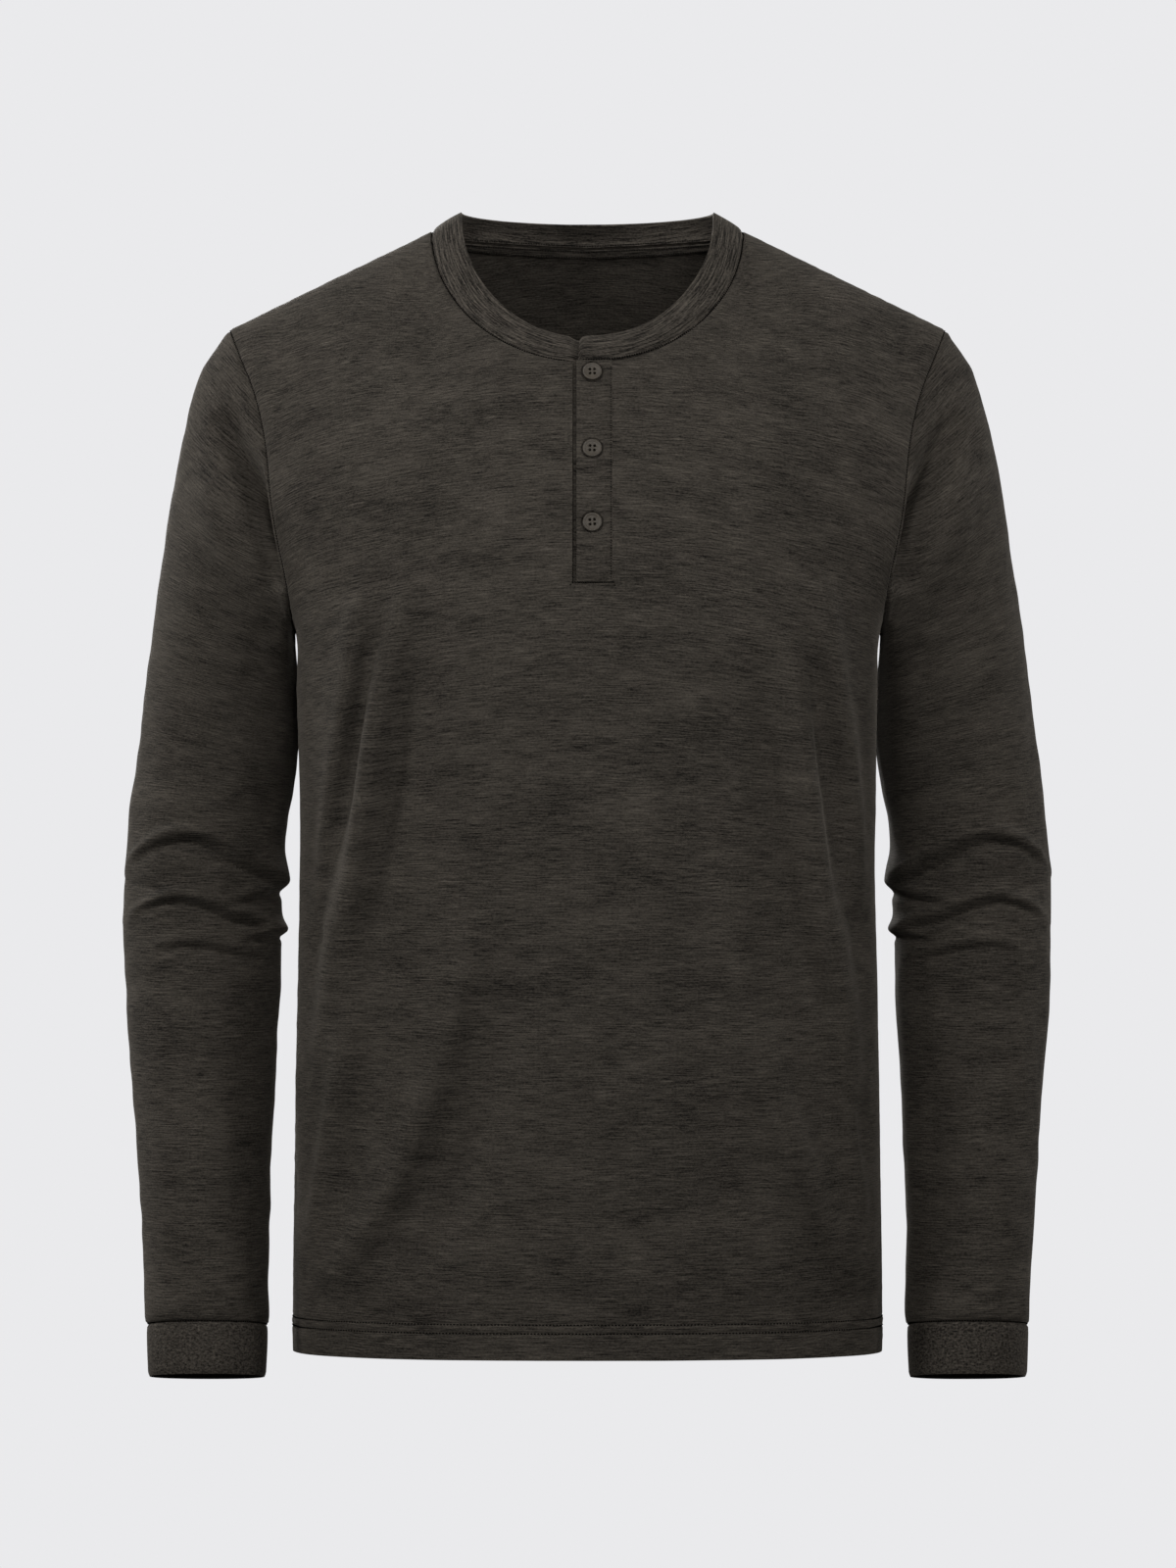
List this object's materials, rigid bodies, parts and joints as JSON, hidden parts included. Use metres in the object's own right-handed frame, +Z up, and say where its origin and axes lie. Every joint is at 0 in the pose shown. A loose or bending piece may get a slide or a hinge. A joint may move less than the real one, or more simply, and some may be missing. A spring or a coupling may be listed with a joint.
{
  "type": "henley shirt",
  "caption": "Long-sleeved henley shirt of slub jersey in its hollow worn form, with a buttoned placket, round neckband and sewn cuffs.",
  "frame": {"origin": "on the shirt's centre line between the side seams, level with the top of the neckband at the shoulders, where the wearer's shoulders and neck hold the shirt up", "axes": "+Z up, -Y the way the front faces, +X to the right of a viewer in front"},
  "size_m": [0.5876, 0.2382, 0.7325],
  "materials": {
    "jersey": "matte",
    "cuff_knit": "matte",
    "button_plastic": "satin"
  },
  "bodies": {
    "root": {"front_panel": "jersey", "back_panel": "jersey", "sleeve_left": "jersey", "sleeve_right": "jersey", "cuff_left": "cuff_knit", "cuff_right": "cuff_knit", "neckband": "jersey", "placket_under": "jersey", "placket_upper": "jersey", "neck_tape": "jersey", "button_1": "button_plastic", "button_2": "button_plastic", "button_3": "button_plastic"}
  },
  "joints": []
}
